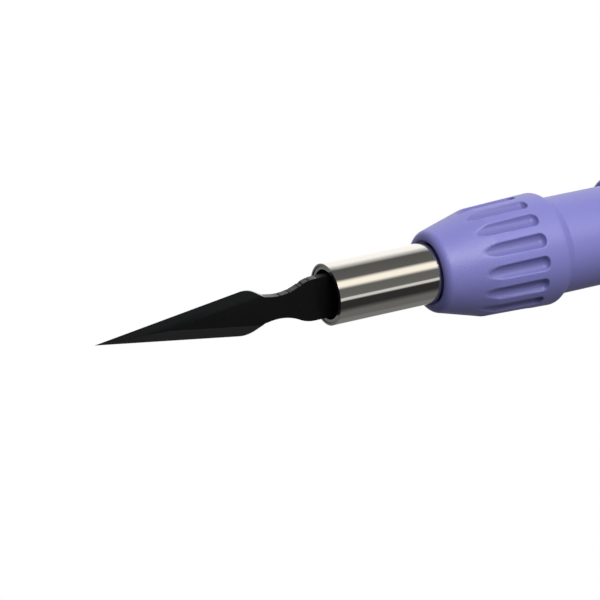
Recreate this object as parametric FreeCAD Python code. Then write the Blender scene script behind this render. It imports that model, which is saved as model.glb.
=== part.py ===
"""Hobby craft knife whose twist collar draws the blade back into the handle.

The knife's axis is X. The origin is the centre of the nose sleeve's mouth: the blade points
towards -X, the handle runs towards +X, and the blade's flat sides face +Y and -Y. All sizes
are in millimetres. Turning the collar one full turn moves the cross pin, the blade carrier and
the blade 33 mm towards +X, because the pin runs in straight slots in the fixed guide tube and
in helical grooves in the cam tube that turns with the collar.
"""
import FreeCAD, Part
import math
import os

Vector = FreeCAD.Vector
ORIGIN = Vector(0, 0, 0)
AXIS = Vector(1, 0, 0)
ACROSS = Vector(0, 1, 0)
UP = Vector(0, 0, 1)

# Blade: a symmetrical spear point with a waist and a straight tang.
BLADE_TIP_X = -31.76
BLADE_REAR_X = 14.0
BLADE_THICKNESS = 1.0
BLADE_HALF_WIDTH = 2.87
BEVEL_WIDTH = 1.49
EDGE_LAND = 0.04
# The blade lies this much low in the fork, inside its play.
BLADE_DROP = 0.13
# Corners of the upper half outline: x, height above the axis, corner radius.
BLADE_CORNERS = [
    (BLADE_TIP_X, 0.0, 0.0),
    (-11.12, 3.17, 3.2),
    (-8.87, 1.8, 0.7),
    (-5.85, 1.28, 6.3),
    (-2.9, BLADE_HALF_WIDTH, 4.4),
    (BLADE_REAR_X, BLADE_HALF_WIDTH, 0.0),
]

# Travel of the blade, and the turn of the collar that gives it.
TRAVEL = 33.0
TRAVEL_TURNS = 1.0
RUNNING_GAP = 0.08

# Nose sleeve and the guide tube inside it.
NOSE_RADIUS = 4.0
GUIDE_RADIUS = 3.62
GUIDE_BORE = 3.25
GUIDE_RECESS = 0.1
NOSE_REAR_X = 14.7

# Cross pin that drives the carrier.
PIN_X = 19.2
PIN_RADIUS = 0.75
PIN_REACH = 4.3

# Blade carrier and its clip.
CARRIER_FRONT_X = 5.5
CARRIER_REAR_X = 21.5
CARRIER_RADIUS = GUIDE_BORE - RUNNING_GAP
TANG_GAP = 0.03
TANG_SLOT_REAR_X = BLADE_REAR_X + 0.2
CLIP_FLAT_Y = -1.75
CLIP_THICKNESS = 0.3
CLIP_HALF_HEIGHT = 1.5
CLIP_FRONT_X = 7.2
CLIP_REAR_X = 17.7
CLIP_DIMPLE_X = 10.5
CLIP_DIMPLE_RADIUS = 0.8
CLIP_SCREW_X = 16.2
CLIP_SCREW_RADIUS = 0.65

# Cam tube: turns on the guide tube, with one groove for each end of the cross pin.
CAM_FRONT_X = 17.3
CAM_REAR_X = 57.6
CAM_BORE = GUIDE_RADIUS + RUNNING_GAP
CAM_RADIUS = 5.1
GROOVE_FLOOR = 4.4
GROOVE_HALF_WIDTH = PIN_RADIUS + 0.12
GROOVE_OVERRUN = 1.5
SPLINE_COUNT = 3
SPLINE_TOP = 5.6
SPLINE_WIDTH = 1.2
SPLINE_GAP = 0.02
SPLINE_FRONT_X = 19.5
SPLINE_REAR_X = 28.0

# Collar: a cone, a barrel-shaped grip and a rounded rear edge, with flutes along it.
COLLAR_FRONT_X = 14.84
COLLAR_REAR_X = 33.2
COLLAR_HOLE = 3.8
COLLAR_HOLE_X = 15.34
COLLAR_LIP_RADIUS = 4.3
COLLAR_FRONT_RADIUS = 5.22
COLLAR_KINK = (21.9, 7.13)
COLLAR_WIDEST = (31.8, 7.5)
COLLAR_REAR_RADIUS = 6.6
COLLAR_SHOULDER_X = 29.9
COLLAR_COUNTERBORE = 6.5
FLUTE_COUNT = 15
FLUTE_PHASE = 2.1
FLUTE_CUTTER = 1.0
FLUTE_END_ROUND = 0.8
FLUTE_FLOOR = 6.6
FLUTE_REAR_X = 29.0

# Barrel: the neck that shows behind the collar, and the core under the grip sleeve.
NECK_RADIUS = 6.44
NECK_FRONT_X = 30.9
NECK_REAR_X = 45.3
CORE_RADIUS = 6.25
CORE_REAR_X = 112.0
BARREL_BORE = CAM_RADIUS + 0.05
BARREL_STEP_X = 55.2
CORE_BORE = 5.6
COLLAR_RING_X = 31.9
COLLAR_RING_THICKNESS = 0.78
COLLAR_RING_RADIUS = 6.08
RING_GROOVE_WIDTH = 0.9

# Grip sleeve, rear trim ring and end cap.
SLEEVE_FRONT_X = 44.4
SLEEVE_HOLE = 6.54
SLEEVE_FRONT_RADIUS = 7.55
SLEEVE_RADIUS = 8.1
SLEEVE_REAR_RADIUS = 7.7
SLEEVE_FLUTE_FLOOR = 7.15
SLEEVE_FLUTES = (53.0, 98.0)
TRIM_FRONT_X = 110.0
TRIM_RADIUS = 7.5
CAP_REAR_X = 121.5
CAP_ACROSS_FLATS = 16.2
CAP_CORNER_RADIUS = 8.9
CAP_STUD_FRONT_X = 104.5
CAP_STUD_RADIUS = 3.5
CAP_SEAL_X = 111.4
CAP_SEAL_THICKNESS = 1.2

# Bulkhead that holds the guide tube in the core, and its cross pin.
ANCHOR_FRONT_X = 59.0
ANCHOR_REAR_X = 66.0
ANCHOR_PIN_X = 61.6
ANCHOR_PIN_RADIUS = 0.8
GUIDE_REAR_X = 63.8
ANCHOR_SOCKET = 3.64
INSERT_FRONT_X = 103.0

# Washers and the retaining ring that hold the cam tube in the barrel.
RETAINER_FRONT_X = 55.8
RETAINER_THICKNESS = 0.7
RETAINER_FLOOR = 4.75
RETAINER_RADIUS = 5.5
WASHER_GAP = 0.03


def rounded_edges(corners):
    """Edges of a closed outline in the XZ plane through corners (x, z, corner radius)."""
    places = [Vector(x, 0, z) for x, z, radius in corners]
    count = len(corners)
    pieces = []
    for index, (x, z, radius) in enumerate(corners):
        corner = places[index]
        if radius == 0:
            pieces.append((corner, None, corner))
            continue
        backward = (places[index - 1] - corner).normalize()
        forward = (places[(index + 1) % count] - corner).normalize()
        half_angle = backward.getAngle(forward) / 2
        reach = radius / math.tan(half_angle)
        inward = (backward + forward).normalize()
        middle = corner + inward * (radius / math.sin(half_angle) - radius)
        pieces.append((corner + backward * reach, middle, corner + forward * reach))
    edges = []
    for index, (start, middle, end) in enumerate(pieces):
        if middle is not None:
            edges.append(Part.Arc(start, middle, end).toShape())
        following = pieces[(index + 1) % count][0]
        edges.append(Part.makeLine(end, following))
    return edges


def turned(corners):
    """Solid of revolution about the X axis from a closed outline of (x, radius, rounding)."""
    outline = Part.Face(Part.Wire(rounded_edges(corners)))
    return outline.revolve(ORIGIN, AXIS, 360)


def rod(front_x, rear_x, radius):
    """Round bar along the X axis."""
    return Part.makeCylinder(radius, rear_x - front_x, Vector(front_x, 0, 0), AXIS)


def tube(front_x, rear_x, bore, radius):
    """Round tube along the X axis."""
    return rod(front_x, rear_x, radius).cut(rod(front_x, rear_x, bore))


def cross_rod(x, start_y, end_y, radius):
    """Round bar along Y at the given x."""
    return Part.makeCylinder(radius, end_y - start_y, Vector(x, start_y, 0), ACROSS)


def block(low, high):
    """Box between two opposite corners."""
    size = Vector(*high) - Vector(*low)
    return Part.makeBox(size.x, size.y, size.z, Vector(*low))


def around_axis(shape, angle):
    """Copy of a shape turned about the X axis by an angle in degrees."""
    copy = shape.copy()
    copy.rotate(ORIGIN, AXIS, angle)
    return copy


def ring_of(shape, count, phase=0.0):
    """Copies of a shape spread evenly around the X axis."""
    return [around_axis(shape, phase + 360.0 * index / count) for index in range(count)]


def o_ring(x, radius, thickness):
    """Rubber ring with a round section, centred on the X axis."""
    return Part.makeTorus(radius, thickness / 2, Vector(x, 0, 0), AXIS)


def flute_cutter(front_x, rear_x, floor):
    """Round-ended bar along X at the +Y side, its deepest line at the floor radius."""
    bar = rod(front_x, rear_x, FLUTE_CUTTER)
    bar.translate(ACROSS * (floor + FLUTE_CUTTER))
    ends = [edge for edge in bar.Edges if edge.BoundBox.XLength < 0.001]
    return bar.makeFillet(FLUTE_END_ROUND, ends)


def blade():
    """Double-edged blade with four bevels that meet in a ridge near the tip."""
    lower = [(x, -z, radius) for x, z, radius in reversed(BLADE_CORNERS[1:])]
    outline = Part.Face(Part.Wire(rounded_edges(BLADE_CORNERS + lower)))
    half = BLADE_THICKNESS / 2
    outline.translate(Vector(0, -half, 0))
    body = outline.extrude(Vector(0, BLADE_THICKNESS, 0))
    edge_x, edge_z, unused = BLADE_CORNERS[1]
    slope = math.atan2(edge_z, edge_x - BLADE_TIP_X)
    outward = Vector(-math.sin(slope), 0, math.cos(slope))
    along = Vector(math.cos(slope), 0, math.sin(slope))
    start = Vector(BLADE_TIP_X, 0, 0) - along * 2
    margin = 0.5
    rise = (half - EDGE_LAND / 2) / BEVEL_WIDTH
    section = [(-BEVEL_WIDTH, half), (margin, half - rise * (BEVEL_WIDTH + margin)), (margin, half + 1),
               (-BEVEL_WIDTH, half + 1)]
    corners = [start + outward * reach + ACROSS * depth for reach, depth in section]
    wedge = Part.Face(Part.makePolygon(corners + corners[:1])).extrude(along * 26)
    opposite = wedge.mirror(ORIGIN, ACROSS)
    wedges = [wedge, opposite, around_axis(wedge, 180), around_axis(opposite, 180)]
    for cutter in wedges:
        body = body.cut(cutter)
    body.translate(UP * -BLADE_DROP)
    return body


def nose_sleeve():
    """Polished sleeve pressed on the guide tube; it stops just short of the collar."""
    return tube(0, NOSE_REAR_X, GUIDE_RADIUS, NOSE_RADIUS)


def guide_tube():
    """Fixed tube that the blade carrier slides in, with a straight slot on each side."""
    body = tube(GUIDE_RECESS, GUIDE_REAR_X, GUIDE_BORE, GUIDE_RADIUS)
    half = PIN_RADIUS + 0.05
    reach = GUIDE_RADIUS + 1
    slot = block((PIN_X, -reach, -half), (PIN_X + TRAVEL, reach, half))
    ends = [cross_rod(x, -reach, reach, half) for x in (PIN_X, PIN_X + TRAVEL)]
    return body.cut(slot.fuse(ends)).cut(anchor_pin())


def cam_tube():
    """Tube with two helical grooves in its bore, splines outside and a retaining groove."""
    body = tube(CAM_FRONT_X, CAM_REAR_X, CAM_BORE, CAM_RADIUS)
    spline = block((SPLINE_FRONT_X, CAM_RADIUS - 0.3, -SPLINE_WIDTH / 2),
                   (SPLINE_REAR_X, SPLINE_TOP, SPLINE_WIDTH / 2))
    body = body.fuse(ring_of(spline, SPLINE_COUNT)).removeSplitter()
    retainer_rear_x = RETAINER_FRONT_X + RETAINER_THICKNESS
    body = body.cut(tube(RETAINER_FRONT_X, retainer_rear_x, RETAINER_FLOOR, CAM_RADIUS + 1))
    for groove in ring_of(groove_cutter(), 2):
        body = body.cut(groove)
    return body


def groove_cutter():
    """Helical bar of the groove's section, passing the +Y side of the axis at the pin's rest."""
    lead = TRAVEL / TRAVEL_TURNS
    start_x = CAM_FRONT_X - GROOVE_OVERRUN
    length = CAM_REAR_X + GROOVE_OVERRUN - start_x
    path_radius = (CAM_BORE + GROOVE_FLOOR) / 2
    spine = Part.Wire(Part.makeHelix(lead, length, path_radius).Edges)
    climb = math.atan2(lead, 2 * math.pi * path_radius)
    inward = CAM_BORE - 0.4
    side = Vector(0, -math.sin(climb), math.cos(climb)) * GROOVE_HALF_WIDTH
    corners = [Vector(inward, 0, 0) - side, Vector(GROOVE_FLOOR, 0, 0) - side,
               Vector(GROOVE_FLOOR, 0, 0) + side, Vector(inward, 0, 0) + side]
    section = Part.Wire(Part.makePolygon(corners + corners[:1]))
    bar = spine.makePipeShell([section], True, True)
    bar.rotate(ORIGIN, Vector(1, 1, 1), 120)
    bar.rotate(ORIGIN, AXIS, -360.0 * (PIN_X - start_x) / lead)
    bar.translate(Vector(start_x, 0, 0))
    return bar


def collar():
    """Fluted collar that is turned by the fingers."""
    kink_x, kink_radius = COLLAR_KINK
    widest_x, widest_radius = COLLAR_WIDEST
    cam_seat = CAM_RADIUS + SPLINE_GAP
    body = turned([
        (COLLAR_HOLE_X, COLLAR_HOLE, 0),
        (COLLAR_FRONT_X, COLLAR_LIP_RADIUS, 0),
        (COLLAR_FRONT_X, COLLAR_FRONT_RADIUS, 1.15),
        (kink_x, kink_radius, 3.0),
        (widest_x, widest_radius, 1.2),
        (COLLAR_REAR_X, COLLAR_REAR_RADIUS, 0.15),
        (COLLAR_REAR_X, COLLAR_COUNTERBORE, 0),
        (COLLAR_SHOULDER_X, COLLAR_COUNTERBORE, 0),
        (COLLAR_SHOULDER_X, cam_seat, 0),
        (CAM_FRONT_X, cam_seat, 0),
        (CAM_FRONT_X, COLLAR_HOLE, 0),
    ])
    cutter = flute_cutter(COLLAR_FRONT_X - 1, FLUTE_REAR_X, FLUTE_FLOOR)
    for flute in ring_of(cutter, FLUTE_COUNT, FLUTE_PHASE):
        body = body.cut(flute)
    half = SPLINE_WIDTH / 2 + SPLINE_GAP
    keyway = block((SPLINE_FRONT_X, CAM_RADIUS - 0.3, -half),
                   (COLLAR_SHOULDER_X + 0.3, SPLINE_TOP + SPLINE_GAP, half))
    for cutter in ring_of(keyway, SPLINE_COUNT):
        body = body.cut(cutter)
    return body


def barrel():
    """Core of the handle: the neck, the cam tube's bearing and the bore behind it."""
    body = turned([
        (NECK_FRONT_X, BARREL_BORE, 0),
        (NECK_FRONT_X, NECK_RADIUS, 0.3),
        (NECK_REAR_X, NECK_RADIUS, 0),
        (NECK_REAR_X, CORE_RADIUS, 0),
        (CORE_REAR_X, CORE_RADIUS, 0),
        (CORE_REAR_X, CORE_BORE, 0),
        (BARREL_STEP_X, CORE_BORE, 0),
        (BARREL_STEP_X, BARREL_BORE, 0),
    ])
    groove_floor = COLLAR_RING_RADIUS - COLLAR_RING_THICKNESS / 2
    groove = tube(COLLAR_RING_X - RING_GROOVE_WIDTH / 2, COLLAR_RING_X + RING_GROOVE_WIDTH / 2,
                  groove_floor, NECK_RADIUS + 1)
    return body.cut(groove).cut(anchor_pin())


def grip_sleeve():
    """Main grip over the core, with the same flutes and the same lip as the collar."""
    body = turned([
        (NECK_REAR_X, CORE_RADIUS, 0),
        (NECK_REAR_X, SLEEVE_HOLE, 0),
        (SLEEVE_FRONT_X, SLEEVE_HOLE, 0),
        (SLEEVE_FRONT_X, SLEEVE_FRONT_RADIUS, 0.75),
        (52.0, SLEEVE_RADIUS, 20.0),
        (100.0, SLEEVE_RADIUS, 60.0),
        (TRIM_FRONT_X, SLEEVE_REAR_RADIUS, 0.4),
        (TRIM_FRONT_X, CORE_RADIUS, 0),
    ])
    front_flute_x, rear_flute_x = SLEEVE_FLUTES
    cutter = flute_cutter(front_flute_x, rear_flute_x, SLEEVE_FLUTE_FLOOR)
    for flute in ring_of(cutter, FLUTE_COUNT, FLUTE_PHASE):
        body = body.cut(flute)
    return body


def blade_carrier():
    """Slider with a fork for the blade's tang and a flat for the clip."""
    body = turned([
        (CARRIER_FRONT_X, 0, 0),
        (CARRIER_FRONT_X, CARRIER_RADIUS, 0.3),
        (CARRIER_REAR_X, CARRIER_RADIUS, 0.3),
        (CARRIER_REAR_X, 0, 0),
    ])
    reach = CARRIER_RADIUS + 1
    slot_half = BLADE_THICKNESS / 2 + TANG_GAP
    slot = block((CARRIER_FRONT_X - 1, -slot_half, -reach), (TANG_SLOT_REAR_X, slot_half, reach))
    flat = block((CLIP_FRONT_X - 0.2, -reach, -reach), (CLIP_REAR_X + 0.2, CLIP_FLAT_Y, reach))
    window = cross_rod(CLIP_DIMPLE_X, -reach, 0, CLIP_DIMPLE_RADIUS + 0.15)
    return body.cut(slot).cut(flat).cut(window).cut(clip_screw()).cut(cam_pin())


def blade_clip():
    """Leaf spring that presses its dimple on the blade's tang."""
    leaf = block((CLIP_FRONT_X, CLIP_FLAT_Y - CLIP_THICKNESS, -CLIP_HALF_HEIGHT),
                 (CLIP_REAR_X, CLIP_FLAT_Y, CLIP_HALF_HEIGHT))
    dimple_end_y = -BLADE_THICKNESS / 2 - 0.01
    dimple = cross_rod(CLIP_DIMPLE_X, CLIP_FLAT_Y - CLIP_THICKNESS, dimple_end_y, CLIP_DIMPLE_RADIUS)
    return leaf.fuse(dimple).removeSplitter().cut(clip_screw())


def clip_screw():
    """Small cheese-head screw that fastens the clip to the carrier."""
    head_top_y = CLIP_FLAT_Y - CLIP_THICKNESS - 0.5
    head = cross_rod(CLIP_SCREW_X, head_top_y, CLIP_FLAT_Y - CLIP_THICKNESS, 1.1)
    shank = cross_rod(CLIP_SCREW_X, CLIP_FLAT_Y - CLIP_THICKNESS, 1.2, CLIP_SCREW_RADIUS)
    driver_slot = block((CLIP_SCREW_X - 2, head_top_y - 1, -0.15),
                        (CLIP_SCREW_X + 2, head_top_y + 0.25, 0.15))
    return head.fuse(shank).cut(driver_slot)


def cam_pin():
    """Cross pin through the carrier, the guide tube's slots and the cam tube's grooves."""
    pin = cross_rod(PIN_X, -PIN_REACH, PIN_REACH, PIN_RADIUS)
    rims = [edge for edge in pin.Edges if edge.BoundBox.YLength < 0.001]
    return pin.makeChamfer(0.12, rims)


def thrust_washer():
    """Washer between the collar's shoulder and the front of the neck."""
    return tube(COLLAR_SHOULDER_X + 0.05, NECK_FRONT_X, CAM_RADIUS + 0.1, COLLAR_COUNTERBORE - 0.15)


def rear_washer():
    """Washer between the barrel's step and the retaining ring."""
    return tube(BARREL_STEP_X + WASHER_GAP, RETAINER_FRONT_X, CAM_RADIUS, RETAINER_RADIUS)


def retaining_ring():
    """Open spring ring in the cam tube's groove."""
    rear_x = RETAINER_FRONT_X + RETAINER_THICKNESS
    ring = tube(RETAINER_FRONT_X, rear_x, RETAINER_FLOOR, RETAINER_RADIUS)
    gap = block((RETAINER_FRONT_X - 1, -1.2, -RETAINER_RADIUS - 1), (rear_x + 1, 1.2, 0))
    return ring.cut(gap)


def collar_o_ring():
    """Rubber ring that gives the collar its light drag."""
    return o_ring(COLLAR_RING_X, COLLAR_RING_RADIUS, COLLAR_RING_THICKNESS)


def guide_anchor():
    """Bulkhead in the core that holds the rear end of the guide tube."""
    body = rod(ANCHOR_FRONT_X, ANCHOR_REAR_X, CORE_BORE)
    socket = rod(ANCHOR_FRONT_X, GUIDE_REAR_X, ANCHOR_SOCKET)
    return body.cut(socket).cut(anchor_pin())


def anchor_pin():
    """Cross pin through the core, the bulkhead and the guide tube."""
    return Part.makeCylinder(ANCHOR_PIN_RADIUS, 2 * (CORE_RADIUS - 0.05),
                             Vector(ANCHOR_PIN_X, 0, 0.05 - CORE_RADIUS), UP)


def end_insert():
    """Threaded ring moulded into the rear of the core."""
    return tube(INSERT_FRONT_X, CAP_SEAL_X - CAP_SEAL_THICKNESS / 2, CAP_STUD_RADIUS, CORE_BORE)


def cap_seal():
    """Flat rubber ring behind the threaded insert."""
    return tube(CAP_SEAL_X - CAP_SEAL_THICKNESS / 2, CORE_REAR_X, CAP_STUD_RADIUS, CORE_BORE)


def trim_ring():
    """Polished ring between the grip sleeve and the end cap."""
    bore = CORE_RADIUS + 0.02
    return turned([
        (TRIM_FRONT_X, bore, 0),
        (TRIM_FRONT_X, TRIM_RADIUS, 0.3),
        (CORE_REAR_X, TRIM_RADIUS, 0.3),
        (CORE_REAR_X, bore, 0),
    ])


def end_cap():
    """Six-sided end cap that stops the knife from rolling, with its threaded stud."""
    corner_distance = CAP_ACROSS_FLATS / 2 / math.cos(math.radians(30))
    angles = [math.radians(60 * step) for step in range(7)]
    corners = [Vector(CORE_REAR_X, corner_distance * math.cos(angle), corner_distance * math.sin(angle))
               for angle in angles]
    prism = Part.Face(Part.makePolygon(corners)).extrude(AXIS * (CAP_REAR_X - CORE_REAR_X))
    envelope = turned([
        (CORE_REAR_X, 0, 0),
        (CORE_REAR_X, TRIM_RADIUS, 0),
        (CORE_REAR_X + 1.6, CAP_CORNER_RADIUS, 1.0),
        (CAP_REAR_X - 1.6, CAP_CORNER_RADIUS, 1.0),
        (CAP_REAR_X, TRIM_RADIUS, 0.6),
        (CAP_REAR_X, 0, 0),
    ])
    stud = rod(CAP_STUD_FRONT_X, CORE_REAR_X, CAP_STUD_RADIUS)
    return prism.common(envelope).fuse(stud).removeSplitter()


PIECES = [
    blade, nose_sleeve, guide_tube, cam_tube, collar, barrel, grip_sleeve, blade_carrier, blade_clip,
    clip_screw, cam_pin, thrust_washer, rear_washer, retaining_ring, collar_o_ring, guide_anchor,
    anchor_pin, end_insert, cap_seal, trim_ring, end_cap,
]

os.makedirs("parts", exist_ok=True)
for piece in PIECES:
    piece().exportStep(os.path.join("parts", piece.__name__ + ".step"))
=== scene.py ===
"""Looks of the hobby craft knife: fine meshes for the pieces that show, materials, light and camera.

The knife's axis is X, the mouth of the nose sleeve is at the origin, and the blade points to -X.
Lengths below are in millimetres and are turned into metres when a mesh is made.
"""

import math

import bmesh
import bpy
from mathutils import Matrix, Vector


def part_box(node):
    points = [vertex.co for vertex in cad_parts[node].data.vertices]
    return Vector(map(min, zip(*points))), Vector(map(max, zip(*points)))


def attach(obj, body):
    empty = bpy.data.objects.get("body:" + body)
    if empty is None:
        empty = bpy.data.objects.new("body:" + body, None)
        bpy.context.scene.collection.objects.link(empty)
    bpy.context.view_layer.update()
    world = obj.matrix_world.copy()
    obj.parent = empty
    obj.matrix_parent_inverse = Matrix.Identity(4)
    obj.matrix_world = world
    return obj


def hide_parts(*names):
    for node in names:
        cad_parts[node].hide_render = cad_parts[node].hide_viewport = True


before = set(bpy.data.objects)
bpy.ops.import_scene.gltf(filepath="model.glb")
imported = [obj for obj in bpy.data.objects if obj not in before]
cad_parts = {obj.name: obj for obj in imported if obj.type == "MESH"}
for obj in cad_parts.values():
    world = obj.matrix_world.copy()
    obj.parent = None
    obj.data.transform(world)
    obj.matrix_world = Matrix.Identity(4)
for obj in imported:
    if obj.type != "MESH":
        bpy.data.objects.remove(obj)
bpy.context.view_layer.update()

MM = 0.001
TURN = 2 * math.pi


def lowest(node):
    """Lowest corner of a CAD node in millimetres."""
    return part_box(node)[0] / MM


def highest(node):
    """Highest corner of a CAD node in millimetres."""
    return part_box(node)[1] / MM


# ---------------------------------------------------------------- mesh helpers

def rounded(corners, arc_steps=8):
    """Points of an open line through corners (x, r, radius), each corner rounded by its radius."""
    points = []
    for index, (x, r, radius) in enumerate(corners):
        here = Vector((x, r))
        if radius == 0:
            points.append((x, r))
            continue
        back = (Vector(corners[index - 1][:2]) - here).normalized()
        ahead = (Vector(corners[index + 1][:2]) - here).normalized()
        half_angle = back.angle(ahead) / 2
        centre = here + (back + ahead).normalized() * (radius / math.sin(half_angle))
        reach = radius / math.tan(half_angle)
        first = here + back * reach - centre
        last = here + ahead * reach - centre
        sweep = first.angle_signed(last)
        for step in range(arc_steps + 1):
            angle = -sweep * step / arc_steps
            turned = Vector((first.x * math.cos(angle) - first.y * math.sin(angle),
                             first.x * math.sin(angle) + first.y * math.cos(angle)))
            points.append(tuple(centre + turned))
    return points


def divided(points, parts_of):
    """The same line with each stretch divided into equal parts, as many as parts_of(start, end) says."""
    result = [points[0]]
    for start, end in zip(points, points[1:]):
        count = parts_of(start, end)
        for step in range(1, count + 1):
            share = step / count
            result.append((start[0] + (end[0] - start[0]) * share, start[1] + (end[1] - start[1]) * share))
    return result


def refined(points, longest, dense=None):
    """The same line with no stretch longer than the given length, and finer in a dense span of x."""
    line = divided(points, lambda start, end: max(1, math.ceil(math.dist(start, end) / longest)))
    if dense is None:
        return line
    return divided(line, lambda start, end: 5 if dense[0] < start[0] < dense[1] else 1)


def finished(name, mesh, body, node, material, sharp_angle=35.0):
    """Puts a mesh in the scene as the piece that stands for a CAD node."""
    mesh.polygons.foreach_set("use_smooth", [True] * len(mesh.polygons))
    mesh.set_sharp_from_angle(angle=math.radians(sharp_angle))
    mesh.materials.append(material)
    piece = bpy.data.objects.new(name, mesh)
    bpy.context.scene.collection.objects.link(piece)
    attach(piece, body)
    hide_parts(node)
    return piece


def lathe(name, outer, inner, segments, cut=None, painted_shade_depth=None):
    """Closed ring mesh: an outer line, whose radius cut() may lower, and an inner line back.

    Faces that lie deeper than the painted shade depth take the mesh's second material, which in the fluted
    pieces is a darker copy of the plastic: painted shade in the grooves.
    """
    loop = [(x, r, True) for x, r in outer] + [(x, r, False) for x, r in inner]
    vertices = []
    depths = []
    for x, r, is_outer in loop:
        for step in range(segments):
            angle = TURN * step / segments
            radius = cut(x, r, angle) if cut and is_outer else r
            depths.append(r - radius)
            vertices.append((x * MM, radius * math.cos(angle) * MM, radius * math.sin(angle) * MM))
    faces = []
    count = len(loop)
    for row in range(count):
        after = (row + 1) % count
        for step in range(segments):
            beside = (step + 1) % segments
            faces.append((row * segments + step, row * segments + beside,
                          after * segments + beside, after * segments + step))
    mesh = bpy.data.meshes.new(name)
    mesh.from_pydata(vertices, [], faces)
    mesh.update()
    if painted_shade_depth is not None:
        for polygon, corners in zip(mesh.polygons, faces):
            polygon.material_index = int(min(depths[corner] for corner in corners) > painted_shade_depth)
    return mesh


def soft_min(a, b, blend):
    """Lower of two values, with the crossing rounded over the blend width."""
    overlap = max(blend - abs(a - b), 0.0) / blend
    return min(a, b) - overlap * overlap * blend / 4


# ---------------------------------------------------------------- flutes

FLUTE_COUNT = 15
FLUTE_PHASE = math.radians(2.1)
FLUTE_CUTTER = 1.0
FLUTE_END_ROUND = 0.8
FLUTE_EDGE = 0.15
COLUMNS_PER_FLUTE = 64
# Halvings that find the rounded edge's height to well under a micrometre.
HALVINGS = 14


def fluted(front_x, rear_x, floor):
    """Cut function for round-ended flutes with rounded edges, between two x positions."""
    pitch = TURN / FLUTE_COUNT
    height = floor + FLUTE_CUTTER
    core = FLUTE_CUTTER - FLUTE_END_ROUND
    first_x = front_x + FLUTE_END_ROUND
    last_x = rear_x - FLUTE_END_ROUND

    def depth_in_cutter(r, offset, past):
        from_axis = math.sqrt(r * r + height * height - 2 * r * height * math.cos(offset))
        return FLUTE_END_ROUND - math.hypot(max(from_axis - core, 0.0), past)

    def bottom(offset, past):
        """Radius of the cutter's underside, or None beside it."""
        if past >= FLUTE_END_ROUND:
            return None
        reach = (core + math.sqrt(FLUTE_END_ROUND ** 2 - past ** 2)) ** 2 - (height * math.sin(offset)) ** 2
        return height * math.cos(offset) - math.sqrt(reach) if reach > 0 else None

    def cut(x, r, angle):
        offset = (angle - FLUTE_PHASE + pitch / 2) % pitch - pitch / 2
        past = max(x - last_x, first_x - x, 0.0)
        if depth_in_cutter(r, offset, past) < -FLUTE_EDGE:
            return r
        wall = bottom(offset, past)
        if wall is not None and wall < r - FLUTE_EDGE:
            return wall
        low, high = min(floor, r) - 2 * FLUTE_EDGE, r
        for _ in range(HALVINGS):
            middle = (low + high) / 2
            over_top = max(middle - r + FLUTE_EDGE, 0.0)
            over_wall = max(depth_in_cutter(middle, offset, past) + FLUTE_EDGE, 0.0)
            if math.hypot(over_top, over_wall) < FLUTE_EDGE:
                low = middle
            else:
                high = middle
        return low

    return cut


# ---------------------------------------------------------------- node helpers

def new_material(name):
    """Material with its Principled shader, ready for a node tree."""
    material = bpy.data.materials.new(name)
    material.use_nodes = True
    return material, material.node_tree, material.node_tree.nodes["Principled BSDF"]


def add(tree, kind, **inputs):
    """New node with its unlinked inputs set by name."""
    node = tree.nodes.new(kind)
    for label, value in inputs.items():
        node.inputs[label].default_value = value
    return node


def place_on_object(tree, node, stretch=(1, 1, 1)):
    """Feeds a texture node the object's own coordinates, stretched along each axis."""
    where = tree.nodes.new("ShaderNodeTexCoord")
    mapping = tree.nodes.new("ShaderNodeMapping")
    mapping.inputs["Scale"].default_value = stretch
    tree.links.new(where.outputs["Object"], mapping.inputs["Vector"])
    tree.links.new(mapping.outputs["Vector"], node.inputs["Vector"])


def noise(tree, size, detail=2.0, roughness=0.5, stretch=(1, 1, 1)):
    """Noise whose features are about the given size in millimetres."""
    node = add(tree, "ShaderNodeTexNoise", Scale=1 / (size * MM), Detail=detail, Roughness=roughness)
    place_on_object(tree, node, stretch)
    return node


def spread(tree, source, low, high, start=0.3, end=0.7):
    """Maps a value that runs from start to end onto the range from low to high."""
    node = tree.nodes.new("ShaderNodeMapRange")
    node.inputs["From Min"].default_value = start
    node.inputs["From Max"].default_value = end
    node.inputs["To Min"].default_value = low
    node.inputs["To Max"].default_value = high
    tree.links.new(source, node.inputs["Value"])
    return node.outputs["Result"]


def blend_colours(tree, factor, first, second):
    """Colour between two colours, chosen by a factor."""
    node = tree.nodes.new("ShaderNodeMix")
    node.data_type = "RGBA"
    node.inputs[6].default_value = (*first, 1)
    node.inputs[7].default_value = (*second, 1)
    tree.links.new(factor, node.inputs["Factor"])
    return node.outputs[2]


def bump(tree, shader, height, depth):
    """Bump of a depth in millimetres on a shader."""
    node = add(tree, "ShaderNodeBump", Strength=1.0, Distance=depth * MM)
    tree.links.new(height, node.inputs["Height"])
    tree.links.new(node.outputs["Normal"], shader.inputs["Normal"])


# ---------------------------------------------------------------- materials

def moulded_plastic(name, colour, roughness=0.42):
    """Satin moulded plastic: fine spark-eroded grain and faint flow clouds."""
    material, tree, shader = new_material(name)
    clouds = noise(tree, 9.0, detail=3.0)
    shade = tuple(channel * 0.93 for channel in colour)
    tree.links.new(blend_colours(tree, clouds.outputs["Fac"], shade, colour), shader.inputs["Base Color"])
    grain = noise(tree, 0.24, detail=3.0, roughness=0.6)
    tree.links.new(spread(tree, grain.outputs["Fac"], roughness - 0.05, roughness + 0.06),
                   shader.inputs["Roughness"])
    shader.inputs["IOR"].default_value = 1.7
    bump(tree, shader, grain.outputs["Fac"], 0.04)
    return material


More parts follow.
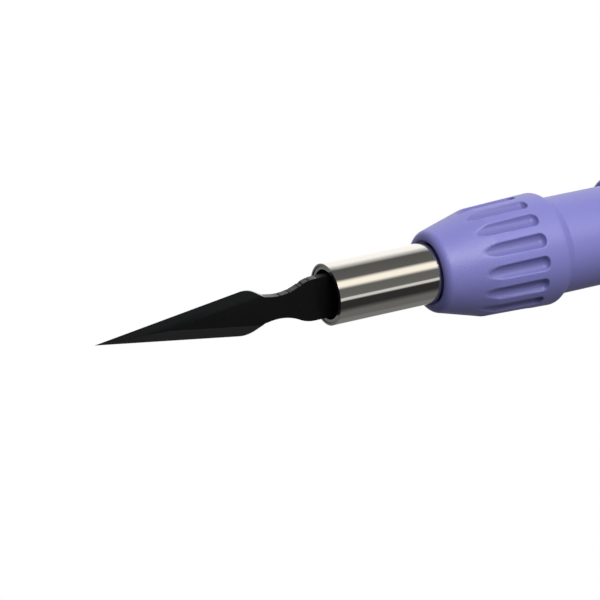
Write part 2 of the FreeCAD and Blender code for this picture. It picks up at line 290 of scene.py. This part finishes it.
def polished_metal(name, colour, roughness=0.09):
    """Polished plated tube with faint turning lines round it."""
    material, tree, shader = new_material(name)
    lines = noise(tree, 0.5, detail=4.0, stretch=(9, 0.25, 0.25))
    shader.inputs["Metallic"].default_value = 1.0
    shade = tuple(channel * 0.94 for channel in colour)
    tree.links.new(blend_colours(tree, lines.outputs["Fac"], shade, colour), shader.inputs["Base Color"])
    tree.links.new(spread(tree, lines.outputs["Fac"], roughness * 0.7, roughness * 1.4),
                   shader.inputs["Roughness"])
    bump(tree, shader, lines.outputs["Fac"], 0.0004)
    return material


def turned_metal(name, colour, roughness=0.3):
    """Machined metal with fine tool marks round the axis."""
    material, tree, shader = new_material(name)
    marks = noise(tree, 0.3, detail=4.0, roughness=0.65, stretch=(6, 0.6, 0.6))
    shader.inputs["Metallic"].default_value = 1.0
    shade = tuple(channel * 0.8 for channel in colour)
    tree.links.new(blend_colours(tree, marks.outputs["Fac"], shade, colour), shader.inputs["Base Color"])
    tree.links.new(spread(tree, marks.outputs["Fac"], roughness - 0.08, roughness + 0.1),
                   shader.inputs["Roughness"])
    bump(tree, shader, marks.outputs["Fac"], 0.003)
    return material


def coated_blade(name, colour, roughness, depth):
    """Black coating over ground steel, with fine grinding lines under it."""
    material, tree, shader = new_material(name)
    grinding = noise(tree, 0.35, detail=3.0, stretch=(0.35, 1, 5))
    light = tuple(channel * 1.3 for channel in colour)
    tree.links.new(blend_colours(tree, grinding.outputs["Fac"], colour, light), shader.inputs["Base Color"])
    tree.links.new(spread(tree, grinding.outputs["Fac"], roughness - 0.03, roughness + 0.04),
                   shader.inputs["Roughness"])
    shader.inputs["IOR"].default_value = 1.5
    bump(tree, shader, grinding.outputs["Fac"], depth)
    return material


def dark_moulding(name, colour, roughness):
    """Black moulded nylon or rubber with a dull fine grain."""
    material, tree, shader = new_material(name)
    grain = noise(tree, 0.2, detail=3.0)
    light = tuple(channel * 1.4 for channel in colour)
    tree.links.new(blend_colours(tree, grain.outputs["Fac"], colour, light), shader.inputs["Base Color"])
    tree.links.new(spread(tree, grain.outputs["Fac"], roughness - 0.06, roughness + 0.06),
                   shader.inputs["Roughness"])
    bump(tree, shader, grain.outputs["Fac"], 0.006)
    return material


PURPLE = (0.262, 0.255, 0.68)
collar_plastic = moulded_plastic("collar_purple", PURPLE)
handle_plastic = moulded_plastic("handle_purple", PURPLE)
# Darker copy of the purple for the flute interiors: painted shade in the grooves.
groove_painted_shade_plastic = moulded_plastic("groove_painted_shade_purple", tuple(channel * 0.78 for channel in PURPLE))
cap_plastic = moulded_plastic("cap_purple", tuple(channel * 0.9 for channel in PURPLE), roughness=0.3)
sleeve_metal = polished_metal("sleeve_metal", (0.87, 0.84, 0.78), roughness=0.05)
# Near-black metal for the sleeve's bore wall and inner chamfer: painted shade in the recess behind the
# mouth.
bore_painted_shade_metal = turned_metal("bore_painted_shade_metal", (0.04, 0.04, 0.04), roughness=0.4)
trim_metal = polished_metal("trim_metal", (0.87, 0.865, 0.855), roughness=0.1)
blade_coating = coated_blade("blade_coating", (0.0105, 0.0105, 0.0108), 0.13, 0.0008)
# Copies of one bevel coating, darker above and lighter below: painted shade on the upper bevel and painted
# light on the lower bevel.
upper_bevel_painted_shade = coated_blade("upper_bevel_painted_shade", (0.002, 0.003, 0.004), 0.4, 0.002)
lower_bevel_painted_light = coated_blade("lower_bevel_painted_light", (0.025, 0.025, 0.025), 0.4, 0.002)
# Near-black coating on the notches and on the edge behind the last one: painted shade.
notch_painted_shade = coated_blade("notch_painted_shade", (0.004, 0.004, 0.004), 0.6, 0.002)
plain_steel = turned_metal("plain_steel", (0.62, 0.61, 0.60), roughness=0.25)
guide_steel = turned_metal("guide_steel", (0.88, 0.87, 0.85), roughness=0.12)
carrier_brass = turned_metal("carrier_brass", (0.74, 0.55, 0.27), roughness=0.28)
black_nylon = dark_moulding("black_nylon", (0.012, 0.012, 0.013), 0.45)
black_rubber = dark_moulding("black_rubber", (0.010, 0.010, 0.010), 0.7)

NODE_MATERIALS = {
    "guide_tube": guide_steel, "cam_tube": black_nylon, "blade_carrier": black_nylon,
    "blade_clip": plain_steel, "clip_screw": plain_steel, "cam_pin": plain_steel,
    "thrust_washer": black_nylon, "rear_washer": plain_steel, "retaining_ring": plain_steel,
    "collar_o_ring": black_rubber, "guide_anchor": black_nylon, "anchor_pin": plain_steel,
    "end_insert": carrier_brass, "cap_seal": black_rubber,
}
for node, material in NODE_MATERIALS.items():
    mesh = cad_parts[node].data
    mesh.materials.clear()
    mesh.materials.append(material)


# ---------------------------------------------------------------- collar

def make_collar():
    """Fluted collar: cone, crowned grip, rounded rear edge, and its stepped bore."""
    front_x, rear_x = lowest("collar").x, highest("collar").x
    hole, hole_x, cam_bore, counterbore = 3.8, 15.34, 5.12, 6.5
    lip_rear_x = lowest("cam_tube").x
    shoulder_x = 29.9
    outer = rounded([
        (hole_x, hole, 0),
        (front_x, 4.3, 0),
        (front_x, 5.22, 1.15),
        (21.9, 7.13, 3.0),
        (31.8, 7.5, 1.2),
        (rear_x, 6.6, 0.15),
        (rear_x, counterbore, 0),
    ], arc_steps=14)
    inner = [(shoulder_x, counterbore), (shoulder_x, cam_bore), (lip_rear_x, cam_bore), (lip_rear_x, hole)]
    cut = fluted(0.0, 29.0, 6.6)
    line = refined(outer, 0.1, dense=(28.0, 29.2))
    mesh = lathe("fluted_collar", line, inner, FLUTE_COUNT * COLUMNS_PER_FLUTE, cut, painted_shade_depth=0.06)
    piece = finished("fluted_collar", mesh, "twist_collar", "collar", collar_plastic)
    # The flute interiors take the darker copy: painted shade.
    mesh.materials.append(groove_painted_shade_plastic)
    return piece


def make_neck():
    """Barrel: the neck behind the collar and the core under the grip."""
    front_x, rear_x = lowest("barrel").x, highest("barrel").x
    neck, core, core_bore, cam_bore = 6.44, 6.25, 5.6, 5.15
    step_x = 55.2
    outer = rounded([
        (front_x, cam_bore, 0),
        (front_x, neck, 0.3),
        (31.44, neck, 0), (31.44, 5.7, 0), (32.36, 5.7, 0), (32.36, neck, 0),
        (45.3, neck, 0),
        (45.3, core, 0),
        (rear_x, core, 0),
        (rear_x, core_bore, 0),
    ])
    inner = [(step_x, core_bore), (step_x, cam_bore)]
    mesh = lathe("neck_and_core", outer, inner, 256)
    return finished("neck_and_core", mesh, "handle", "barrel", handle_plastic)


def make_grip():
    """Main grip with its rounded front lip and long flutes."""
    front_x, rear_x = lowest("grip_sleeve").x, highest("grip_sleeve").x
    bore, hole = 6.25, 6.54
    outer = rounded([
        (front_x, hole, 0),
        (front_x, 7.55, 0.75),
        (52.0, 8.1, 20.0),
        (100.0, 8.1, 60.0),
        (rear_x, 7.7, 0.4),
        (rear_x, bore, 0),
    ], arc_steps=12)
    cut = fluted(53.0, 98.0, 7.15)
    inner = [(45.3, bore), (45.3, hole)]
    mesh = lathe("fluted_grip", refined(outer, 0.3), inner, FLUTE_COUNT * 32, cut, painted_shade_depth=0.06)
    piece = finished("fluted_grip", mesh, "handle", "grip_sleeve", handle_plastic)
    # The flute interiors take the darker copy: painted shade.
    mesh.materials.append(groove_painted_shade_plastic)
    return piece


def make_sleeve():
    """Polished nose sleeve with a flat rim whose outer edge is only just broken."""
    rear_x = highest("nose_sleeve").x
    bore, radius = 3.62, 4.0
    outer = rounded([(0.1, bore, 0), (0.0, bore + 0.1, 0), (0.0, radius, 0.04), (rear_x, radius, 0.1),
                     (rear_x, bore, 0)])
    mesh = lathe("polished_sleeve", refined(outer, 1.0), [], 256)
    piece = finished("polished_sleeve", mesh, "handle", "nose_sleeve", sleeve_metal)
    # The bore wall and inner chamfer take the near-black metal: painted shade.
    mesh.materials.append(bore_painted_shade_metal)
    for face in mesh.polygons:
        if math.hypot(face.center.y, face.center.z) < (bore + 0.06) * MM:
            face.material_index = 1
    return piece


def make_trim():
    """Polished ring in front of the end cap."""
    front_x, rear_x = lowest("trim_ring").x, highest("trim_ring").x
    outer = rounded([(front_x, 6.25, 0), (front_x, 7.5, 0.25), (rear_x, 7.5, 0.25), (rear_x, 6.25, 0)])
    mesh = lathe("trim_band", refined(outer, 0.5), [], 192)
    return finished("trim_band", mesh, "handle", "trim_ring", trim_metal)


# ---------------------------------------------------------------- blade

NOTCH_PLACES = [-6.75 + 1.35 * index for index in range(5)]
NOTCH_RADIUS = 0.63
NOTCH_DEPTH = 0.02
NOTCH_HALF_LENGTH = math.sqrt(NOTCH_RADIUS ** 2 - (NOTCH_RADIUS - NOTCH_DEPTH) ** 2)


def in_notch_shade(place):
    """Whether a point on the blade's edge takes the near-black coating of painted shade: in one of the
    notches, or behind the last of them.
    """
    return place.x > NOTCH_PLACES[-1] or any(abs(place.x - x) < NOTCH_HALF_LENGTH for x in NOTCH_PLACES)


def notched(line):
    """Upper edge of the blade with faint cross marks on its waist."""
    radius = NOTCH_RADIUS
    waist = [point for point in refined(line, 0.04) if -7.5 < point[0] < -0.5]
    notches = []
    for x in NOTCH_PLACES:
        edge = min(waist, key=lambda point: abs(point[0] - x))[1]
        notches.append((x, edge + radius - NOTCH_DEPTH))
    result = [point for point in line if point[0] <= -7.5]
    for x, z in waist:
        for middle_x, middle_z in notches:
            if abs(x - middle_x) < radius:
                z = min(z, middle_z - math.sqrt(radius ** 2 - (x - middle_x) ** 2))
        result.append((x, z))
    return result + [point for point in line if point[0] >= -0.5]


def make_blade():
    """Spear blade: outline pulled to its thickness, then ground by four bevel planes."""
    thickness, half_width, bevel_width, land, drop = 1.0, 2.87, 1.49, 0.04, 0.13
    tip_x, rear_x = lowest("blade").x, highest("blade").x
    shoulder = (-11.12, 3.17)
    upper = rounded([
        (tip_x, 0.0, 0),
        (*shoulder, 3.2),
        (-8.87, 1.8, 0.7),
        (-5.85, 1.28, 6.3),
        (-2.9, half_width, 4.4),
        (rear_x, half_width, 0),
    ], arc_steps=16)
    outline = notched(upper) + [(x, -z) for x, z in reversed(upper[1:])]
    shape = bmesh.new()
    half = thickness / 2
    face = shape.faces.new([shape.verts.new((x, -half, z)) for x, z in outline])
    grown = bmesh.ops.extrude_face_region(shape, geom=[face])["geom"]
    for vertex in grown:
        if isinstance(vertex, bmesh.types.BMVert):
            vertex.co.y = half
    slope = math.atan2(shoulder[1], shoulder[0] - tip_x)
    rise = math.atan2(half - land / 2, bevel_width)
    for side in (1, -1):
        for up in (1, -1):
            outward = Vector((-math.sin(slope), 0, up * math.cos(slope)))
            normal = outward * math.sin(rise) + Vector((0, side, 0)) * math.cos(rise)
            on_plane = Vector((tip_x, side * land / 2, 0))
            geometry = shape.verts[:] + shape.edges[:] + shape.faces[:]
            cut = bmesh.ops.bisect_plane(shape, geom=geometry, plane_co=on_plane, plane_no=normal,
                                         clear_outer=True, dist=1e-6)["geom_cut"]
            edges = [item for item in cut if isinstance(item, bmesh.types.BMEdge)]
            bmesh.ops.contextual_create(shape, geom=edges)
    bmesh.ops.recalc_face_normals(shape, faces=shape.faces[:])
    for face in shape.faces:
        # Bevels facing up take the darker copy (painted shade), bevels facing down the lighter copy
        # (painted light).
        if 0.5 < abs(face.normal.y) < 0.99:
            face.material_index = 1 if face.normal.z > 0 else 2
        # Notches and the edge behind the last one take the near-black coating: painted shade.
        elif abs(face.normal.y) < 0.5 and face.normal.z > 0 and in_notch_shade(face.calc_center_median()):
            face.material_index = 3
    bmesh.ops.translate(shape, vec=(0, 0, -drop), verts=shape.verts[:])
    bmesh.ops.scale(shape, vec=(MM, MM, MM), verts=shape.verts[:])
    mesh = bpy.data.meshes.new("spear_blade")
    shape.to_mesh(mesh)
    shape.free()
    piece = finished("spear_blade", mesh, "cutting_blade", "blade", blade_coating,
                     sharp_angle=20.0)
    for coating in (upper_bevel_painted_shade, lower_bevel_painted_light, notch_painted_shade):
        mesh.materials.append(coating)
    return piece


# ---------------------------------------------------------------- end cap

def make_cap():
    """Six-sided end cap with rounded corners, chamfered ends and its stud."""
    front_x = highest("trim_ring").x
    rear_x = highest("end_cap").x
    stud_front_x = lowest("end_cap").x
    flat, corner, ring = 8.1, 8.9, 7.5
    line = refined(rounded([(front_x, 3.5, 0), (front_x, ring, 0.1), (front_x + 1.6, corner, 1.0),
                            (rear_x - 1.6, corner, 1.0), (rear_x, ring, 0.6), (rear_x, 0.02, 0)]), 0.4)
    stud = [(stud_front_x, 0.02), (stud_front_x, 3.3), (stud_front_x + 0.2, 3.5)]
    side_angle = TURN / 6

    def six_sided(x, r, angle):
        offset = angle % side_angle - side_angle / 2
        return soft_min(r, flat / math.cos(offset), 0.25)

    mesh = lathe("six_sided_cap", line, stud, 360, six_sided)
    return finished("six_sided_cap", mesh, "handle", "end_cap", cap_plastic)


plastic_pieces = [make_collar(), make_neck(), make_grip(), make_cap()]
make_sleeve()
make_trim()
make_blade()


# ---------------------------------------------------------------- stage, light and camera

def make_floor():
    """Plain white studio floor well below the knife."""
    depth = 0.16
    reach = 2.5
    mesh = bpy.data.meshes.new("floor")
    mesh.from_pydata([(-reach, -reach, -depth), (reach, -reach, -depth), (reach, reach, -depth),
                      (-reach, reach, -depth)], [], [(0, 1, 2, 3)])
    floor = bpy.data.objects.new("floor", mesh)
    bpy.context.scene.collection.objects.link(floor)
    material, tree, shader = new_material("floor_white")
    paper = noise(tree, 4.0)
    tree.links.new(blend_colours(tree, paper.outputs["Fac"], (0.5, 0.5, 0.5), (0.51, 0.51, 0.51)),
                   shader.inputs["Base Color"])
    shader.inputs["Roughness"].default_value = 0.9
    glow = add(tree, "ShaderNodeEmission", Color=(1, 1, 1, 1), Strength=1.0)
    path = tree.nodes.new("ShaderNodeLightPath")
    mix = tree.nodes.new("ShaderNodeMixShader")
    tree.links.new(path.outputs["Is Camera Ray"], mix.inputs[0])
    tree.links.new(shader.outputs["BSDF"], mix.inputs[1])
    tree.links.new(glow.outputs["Emission"], mix.inputs[2])
    tree.links.new(mix.outputs["Shader"], tree.nodes["Material Output"].inputs["Surface"])
    mesh.materials.append(material)
    floor.visible_glossy = False
    floor.visible_diffuse = False
    floor.visible_shadow = False


def maths(tree, operation, first, second=None):
    """Math node over linked values or plain numbers."""
    node = tree.nodes.new("ShaderNodeMath")
    node.operation = operation
    for socket, value in zip(node.inputs, (first, second)):
        if isinstance(value, (int, float)):
            socket.default_value = value
        elif value is not None:
            tree.links.new(value, socket)
    return node.outputs["Value"]


def scaled(tree, colour, factor):
    """Colour times a linked factor; the colour is linked or plain."""
    node = tree.nodes.new("ShaderNodeVectorMath")
    node.operation = "SCALE"
    if isinstance(colour, tuple):
        node.inputs[0].default_value = colour
    else:
        tree.links.new(colour, node.inputs[0])
    tree.links.new(factor, node.inputs["Scale"])
    return node.outputs["Vector"]


def added(tree, first, second):
    """Sum of two linked colours."""
    node = tree.nodes.new("ShaderNodeVectorMath")
    tree.links.new(first, node.inputs[0])
    tree.links.new(second, node.inputs[1])
    return node.outputs["Vector"]


def round_ramp(tree, angle, stops):
    """Grey by the angle round the X axis, from stops of (degrees, brightness)."""
    node = tree.nodes.new("ShaderNodeValToRGB")
    tree.links.new(spread(tree, angle, 0.0, 1.0, start=-math.pi, end=math.pi), node.inputs["Fac"])
    band = node.color_ramp
    for index, (degrees, brightness) in enumerate(stops):
        place = (degrees + 180.0) / 360.0
        item = band.elements[index] if index < 2 else band.elements.new(place)
        item.position = place
        item.color = (brightness, brightness, brightness, 1)
    return node.outputs["Color"]


def light_strip(tree, angle, centre, soft_edge, colour):
    """Soft strip of light round the X axis, full at its centre and gone past its soft edge."""
    away = maths(tree, "ABSOLUTE", maths(tree, "SUBTRACT", angle, math.radians(centre)))
    edge = tree.nodes.new("ShaderNodeMapRange")
    edge.interpolation_type = "SMOOTHSTEP"
    edge.inputs["From Min"].default_value = math.radians(soft_edge[0])
    edge.inputs["From Max"].default_value = math.radians(soft_edge[1])
    edge.inputs["To Min"].default_value = 1.0
    edge.inputs["To Max"].default_value = 0.0
    tree.links.new(away, edge.inputs["Value"])
    return scaled(tree, colour, edge.outputs["Result"])


def make_studio():
    """Studio room round the X axis: one for reflections, one for soft light, and white for the camera."""
    world = bpy.data.worlds.new("studio")
    bpy.context.scene.world = world
    world.use_nodes = True
    tree = world.node_tree
    tree.nodes.clear()
    where = tree.nodes.new("ShaderNodeTexCoord")
    parts = tree.nodes.new("ShaderNodeSeparateXYZ")
    tree.links.new(where.outputs["Generated"], parts.inputs["Vector"])
    along = parts.outputs["X"]
    towards_front = maths(tree, "MULTIPLY", parts.outputs["Y"], -1.0)
    # Angle from straight up towards the front (-Y).
    angle = maths(tree, "ARCTAN2", towards_front, parts.outputs["Z"])
    # A white panel above and behind, a dark gap overhead, a grey room in front and a black flag below it.
    room = [(-180, 0.2), (-140, 0.2), (-110, 1.1), (-50, 1.1), (-20, 0.1), (90, 0.15), (105, 0.03),
            (130, 0.03), (150, 0.15)]
    gloss = round_ramp(tree, angle, room)
    warm_strip = light_strip(tree, angle, 40.0, (5.0, 20.0), (1.0, 0.95, 0.85))
    thin_strip = light_strip(tree, angle, 95.0, (2.0, 8.0), (0.6, 0.6, 0.6))
    gloss = added(tree, added(tree, gloss, warm_strip), thin_strip)
    soft_light = [(-180, 0.15), (-60, 0.25), (0, 0.6), (30, 0.6), (70, 0.25), (180, 0.2)]
    diffuse = round_ramp(tree, angle, soft_light)
    # Both rooms darken towards the blade's end, and the one for reflections towards the cap's end too.
    gloss = scaled(tree, gloss, spread(tree, along, 0.16, 1.0, start=-0.4, end=0.1))
    gloss = scaled(tree, gloss, spread(tree, along, 1.0, 0.35, start=0.55, end=0.85))
    diffuse = scaled(tree, diffuse, spread(tree, along, 0.16, 1.0, start=-0.9, end=0.1))
    path = tree.nodes.new("ShaderNodeLightPath")
    colour = diffuse
    for ray, seen in (("Is Glossy Ray", gloss), ("Is Camera Ray", (1, 1, 1, 1))):
        mixed = tree.nodes.new("ShaderNodeMix")
        mixed.data_type = "RGBA"
        tree.links.new(path.outputs[ray], mixed.inputs["Factor"])
        tree.links.new(colour, mixed.inputs[6])
        if isinstance(seen, tuple):
            mixed.inputs[7].default_value = seen
        else:
            tree.links.new(seen, mixed.inputs[7])
        colour = mixed.outputs[2]
    light = tree.nodes.new("ShaderNodeBackground")
    tree.links.new(colour, light.inputs["Color"])
    output = tree.nodes.new("ShaderNodeOutputWorld")
    tree.links.new(light.outputs["Background"], output.inputs["Surface"])


def make_lamp(name, place, width, depth, power, mirrored):
    """Soft box that faces the knife; it shows in shiny surfaces only if it is mirrored."""
    lamp = bpy.data.lights.new(name, "AREA")
    lamp.shape = "RECTANGLE"
    lamp.size = width
    lamp.size_y = depth
    lamp.energy = power
    light = bpy.data.objects.new(name, lamp)
    bpy.context.scene.collection.objects.link(light)
    middle = Vector((0.02, 0, 0))
    light.location = middle + Vector(place)
    light.rotation_euler = (middle - light.location).to_track_quat("-Z", "Y").to_euler()
    light.visible_glossy = mirrored
    return light


def flag_off(light, pieces):
    """Keeps a lamp's light on the given pieces only, as black flags round it would."""
    lit = bpy.data.collections.new(light.name + "_pieces")
    for piece in pieces:
        lit.objects.link(piece)
    light.light_linking.receiver_collection = lit


def make_camera():
    """Long lens in front of the knife, to the blade's side and above it."""
    azimuth = math.radians(-28.35)
    elevation = math.radians(23.62)
    distance = 320.23
    aim = Vector((-2.95, 1.29, -0.62))
    forward = Vector((-math.sin(azimuth) * math.cos(elevation), math.cos(azimuth) * math.cos(elevation),
                      -math.sin(elevation)))
    lens = bpy.data.cameras.new("camera")
    lens.lens = 152.56
    lens.sensor_width = 36.0
    lens.clip_start = 0.01
    camera = bpy.data.objects.new("camera", lens)
    bpy.context.scene.collection.objects.link(camera)
    camera.location = (aim - forward * distance) * MM
    camera.rotation_euler = forward.to_track_quat("-Z", "Y").to_euler()
    bpy.context.scene.camera = camera


make_floor()
make_studio()
make_lamp("key_light", (0.05, -0.25, 0.55), 0.5, 0.3, 1.5, mirrored=False)
make_lamp("front_light", (-0.035, -0.35, 0.355), 0.15, 0.15, 0.35, mirrored=True)
strip_light = make_lamp("strip_light", (-0.02, -0.275, 0.29), 0.42, 0.08, 0.42, mirrored=True)
flag_off(strip_light, plastic_pieces)
make_camera()
bpy.context.scene.view_settings.view_transform = "Standard"
